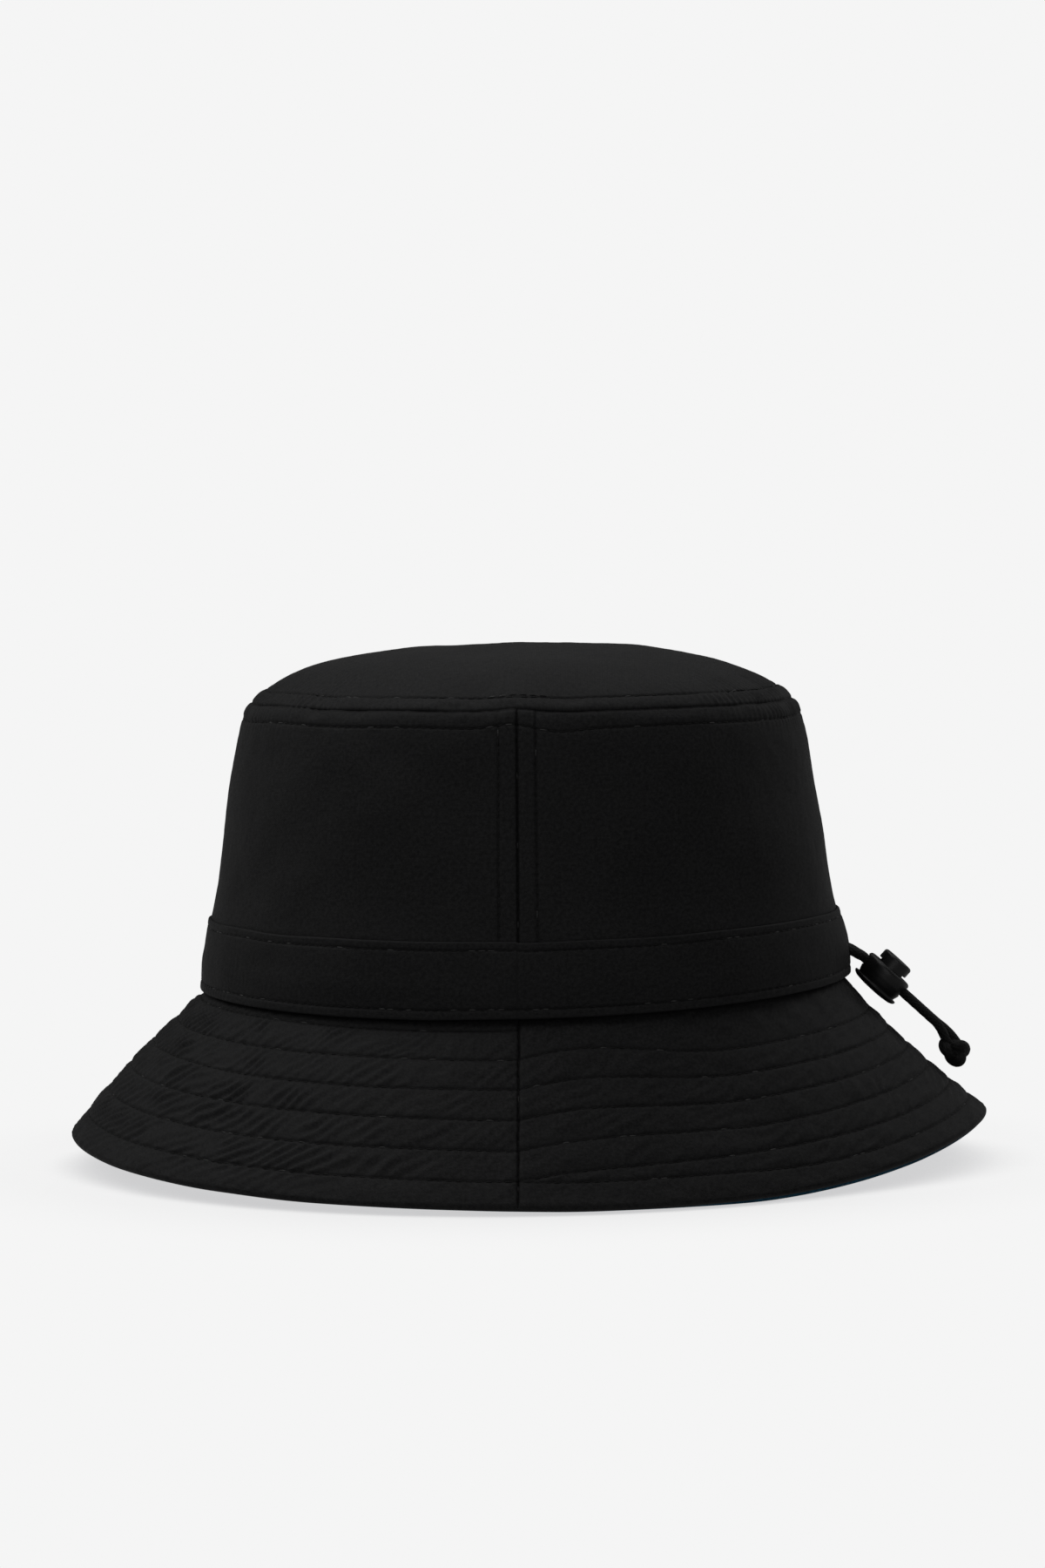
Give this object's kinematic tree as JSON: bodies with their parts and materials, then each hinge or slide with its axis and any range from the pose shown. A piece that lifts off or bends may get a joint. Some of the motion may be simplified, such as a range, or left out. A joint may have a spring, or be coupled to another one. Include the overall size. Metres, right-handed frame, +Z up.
{
  "type": "bucket hat",
  "caption": "Soft brimmed hat with an oval flat-topped crown, a sloping stitched brim and an elastic cord round the head, drawn up at the back by a spring cord lock.",
  "frame": {"origin": "middle of the head opening, level with the brim seam at the two sides", "axes": "+Z up through the crown, -Y towards the front of the hat, +Y towards the back where the cord comes out, +X towards the wearer's left"},
  "size_m": [0.2558, 0.2974, 0.1669],
  "materials": {
    "black_cloth": "tightly woven matt cotton or nylon, near black",
    "blue_cloth": "plain woven lining, dark petrol blue",
    "interlining": "stiff non-woven, never seen",
    "sweatband_cloth": "ribbed cotton tape, black",
    "label_cloth": "blank satin tape",
    "cord_braid": "braided elastic, black",
    "lock_plastic": "moulded, slightly glossy black",
    "eyelet_metal": "black lacquered",
    "spring_steel": "drawn wire"
  },
  "bodies": {
    "hat": {"crown_top": "black_cloth", "crown_front": "black_cloth", "crown_back": "black_cloth", "cord_casing": "black_cloth", "brim_top_front": "black_cloth", "brim_top_back": "black_cloth", "brim_interlining_front": "interlining", "brim_interlining_back": "interlining", "brim_under_front": "blue_cloth", "brim_under_back": "blue_cloth", "lining_top": "blue_cloth", "lining_front": "blue_cloth", "lining_back": "blue_cloth", "sweatband": "sweatband_cloth", "care_label": "label_cloth", "eyelet_left": "eyelet_metal", "eyelet_right": "eyelet_metal", "elastic_cord": "cord_braid"},
    "tail": {"cord_tail": "cord_braid"},
    "lock": {"lock_body": "lock_plastic", "lock_spring": "spring_steel"},
    "button": {"lock_button": "lock_plastic"}
  },
  "joints": [
    {"name": "tail_swing", "type": "hinge", "parent": "hat", "child": "tail", "pos_m": [0, 0.1068, 0.01309], "axis": [1, 0, 0], "range_deg": [-2, 95]},
    {"name": "lock_slide", "type": "slide", "parent": "tail", "child": "lock", "axis": [0, 0.7373, -0.6756], "range_m": [0, 0.012]},
    {"name": "button_press", "type": "slide", "parent": "lock", "child": "button", "axis": [0, -0.6756, -0.7373], "range_m": [0, 0.002], "stiffness_N_per_m": 1500, "springref_m": -0.002, "deforming": ["lock_spring"]}
  ]
}
